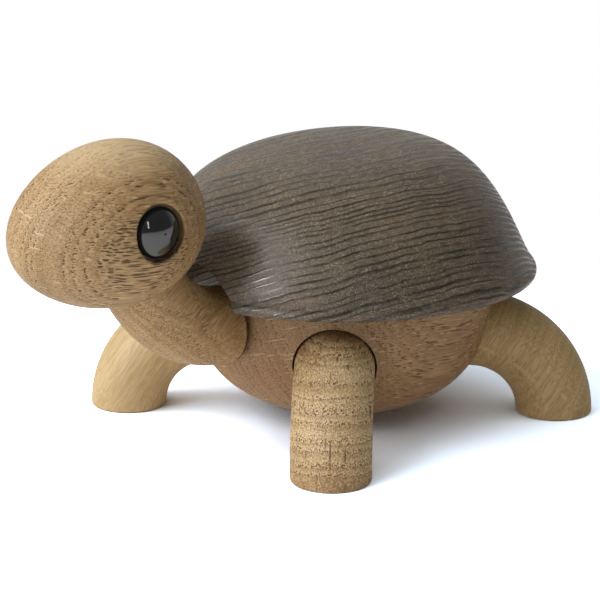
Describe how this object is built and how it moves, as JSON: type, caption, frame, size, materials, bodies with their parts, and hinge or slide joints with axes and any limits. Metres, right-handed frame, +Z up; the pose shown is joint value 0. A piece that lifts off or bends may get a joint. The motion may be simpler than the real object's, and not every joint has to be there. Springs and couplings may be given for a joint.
{
  "type": "turtle figurine",
  "caption": "Turned oak turtle figurine with a dark stained domed shell and glossy black eyes; its legs, neck and head turn on friction-held dowels.",
  "frame": {"origin": "on the floor, at the middle of the whole figure's footprint", "axes": "+Z up, -Y ahead out of the nose, +X to the figure's own left"},
  "size_m": [0.1276, 0.1914, 0.1027],
  "materials": {
    "oiled_oak": "oiled oak, satin",
    "oiled_oak_body": "oiled oak, satin, redder than the limbs",
    "stained_oak": "dark stained and brushed oak, satin",
    "black_gloss": "gloss",
    "beech": "plain turned beech",
    "sleeve_rubber": "matt black rubber"
  },
  "bodies": {
    "trunk": {"body": "oiled_oak_body", "shell": "stained_oak", "left_shell_dowel": "beech", "right_shell_dowel": "beech", "neck_sleeve": "sleeve_rubber", "front_left_leg_sleeve": "sleeve_rubber", "front_right_leg_sleeve": "sleeve_rubber", "rear_left_leg_sleeve": "sleeve_rubber", "rear_right_leg_sleeve": "sleeve_rubber"},
    "front_left_limb": {"front_left_leg": "oiled_oak", "front_left_leg_dowel": "beech"},
    "front_right_limb": {"front_right_leg": "oiled_oak", "front_right_leg_dowel": "beech"},
    "rear_left_limb": {"rear_left_leg": "oiled_oak", "rear_left_leg_dowel": "beech"},
    "rear_right_limb": {"rear_right_leg": "oiled_oak", "rear_right_leg_dowel": "beech"},
    "neck_limb": {"neck": "oiled_oak", "neck_dowel": "beech", "head_dowel": "beech"},
    "head_group": {"head": "oiled_oak", "head_sleeve": "sleeve_rubber", "left_eye": "black_gloss", "right_eye": "black_gloss"}
  },
  "joints": [
    {"name": "front_left_leg_turn", "type": "hinge", "parent": "trunk", "child": "front_left_limb", "pos_m": [0.02885, 0.00305, 0.028], "axis": [-0.7071, 0.7071, 0], "range_deg": [-60, 60]},
    {"name": "front_right_leg_turn", "type": "hinge", "parent": "trunk", "child": "front_right_limb", "pos_m": [-0.02885, 0.00305, 0.028], "axis": [-0.7071, -0.7071, 0], "range_deg": [-60, 60]},
    {"name": "rear_left_leg_turn", "type": "hinge", "parent": "trunk", "child": "rear_left_limb", "pos_m": [0.02885, 0.06075, 0.028], "axis": [-0.7071, -0.7071, 0], "range_deg": [-60, 60]},
    {"name": "rear_right_leg_turn", "type": "hinge", "parent": "trunk", "child": "rear_right_limb", "pos_m": [-0.02885, 0.06075, 0.028], "axis": [-0.7071, 0.7071, 0], "range_deg": [-60, 60]},
    {"name": "neck_turn", "type": "hinge", "parent": "trunk", "child": "neck_limb", "pos_m": [0, -0.0174, 0.0383], "axis": [0, 1, 0], "range_deg": [-60, 60]},
    {"name": "head_turn", "type": "hinge", "parent": "neck_limb", "child": "head_group", "pos_m": [0, -0.06383, 0.07734], "axis": [0, -0.5592, 0.829], "range_deg": [-90, 90]}
  ]
}
